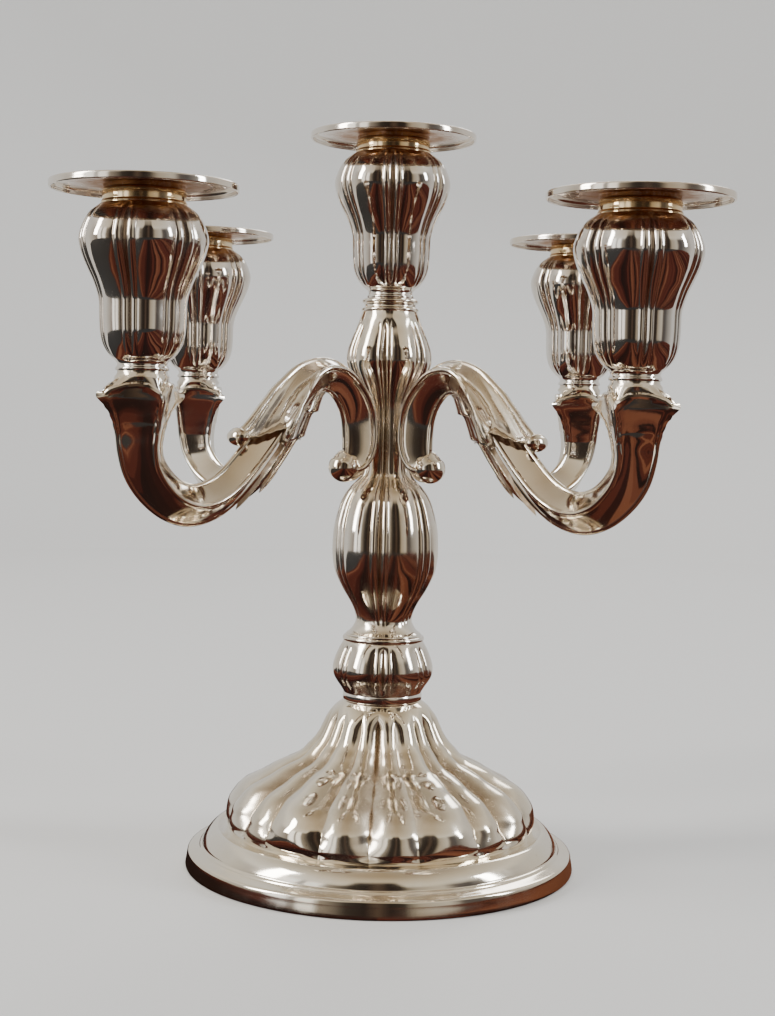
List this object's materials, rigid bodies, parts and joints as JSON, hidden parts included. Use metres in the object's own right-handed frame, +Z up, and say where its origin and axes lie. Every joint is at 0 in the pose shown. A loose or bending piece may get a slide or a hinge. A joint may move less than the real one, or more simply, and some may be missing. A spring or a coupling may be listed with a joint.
{
  "type": "candelabrum",
  "caption": "Silver-plated table candelabrum: lobed dome foot, fluted baluster stem with a centre socket, and S-scroll arms with fluted vase sockets and lift-out drip pans.",
  "frame": {"origin": "centre of the underside", "axes": "+Z up along the stem; the arms lie along +X, +Y, -X and -Y"},
  "size_m": [0.3058, 0.3058, 0.2902],
  "materials": {
    "silver_plate": "polished, slightly tarnished",
    "silver_tube": "satin inside, with candle wax stains",
    "steel": "turned",
    "plate_metal": "rolled sheet",
    "ballast": "cast filler",
    "felt": "short nap"
  },
  "bodies": {
    "candelabrum": {"base_shell": "silver_plate", "base_ballast": "ballast", "base_plate": "plate_metal", "base_felt": "felt", "knop": "silver_plate", "stem_ring": "silver_plate", "stem": "silver_plate", "arm_pins": "steel", "cap_ring": "silver_plate", "arm_1": "silver_plate", "arm_2": "silver_plate", "arm_3": "silver_plate", "arm_4": "silver_plate", "socket_centre": "silver_plate", "socket_1": "silver_plate", "socket_2": "silver_plate", "socket_3": "silver_plate", "socket_4": "silver_plate", "socket_screws": "steel", "tie_rod": "steel", "tie_rod_washer": "steel", "tie_rod_nut": "steel"},
    "nozzle_centre": {"candle_tube_centre": "silver_tube", "drip_pan_centre": "silver_plate"},
    "nozzle_1": {"candle_tube_1": "silver_tube", "drip_pan_1": "silver_plate"},
    "nozzle_2": {"candle_tube_2": "silver_tube", "drip_pan_2": "silver_plate"},
    "nozzle_3": {"candle_tube_3": "silver_tube", "drip_pan_3": "silver_plate"},
    "nozzle_4": {"candle_tube_4": "silver_tube", "drip_pan_4": "silver_plate"}
  },
  "joints": [
    {"name": "nozzle_centre_lift", "type": "slide", "parent": "candelabrum", "child": "nozzle_centre", "axis": [0, 0, 1], "range_m": [0, 0.045]},
    {"name": "nozzle_1_lift", "type": "slide", "parent": "candelabrum", "child": "nozzle_1", "axis": [0, 0, 1], "range_m": [0, 0.045]},
    {"name": "nozzle_2_lift", "type": "slide", "parent": "candelabrum", "child": "nozzle_2", "axis": [0, 0, 1], "range_m": [0, 0.045]},
    {"name": "nozzle_3_lift", "type": "slide", "parent": "candelabrum", "child": "nozzle_3", "axis": [0, 0, 1], "range_m": [0, 0.045]},
    {"name": "nozzle_4_lift", "type": "slide", "parent": "candelabrum", "child": "nozzle_4", "axis": [0, 0, 1], "range_m": [0, 0.045]}
  ]
}
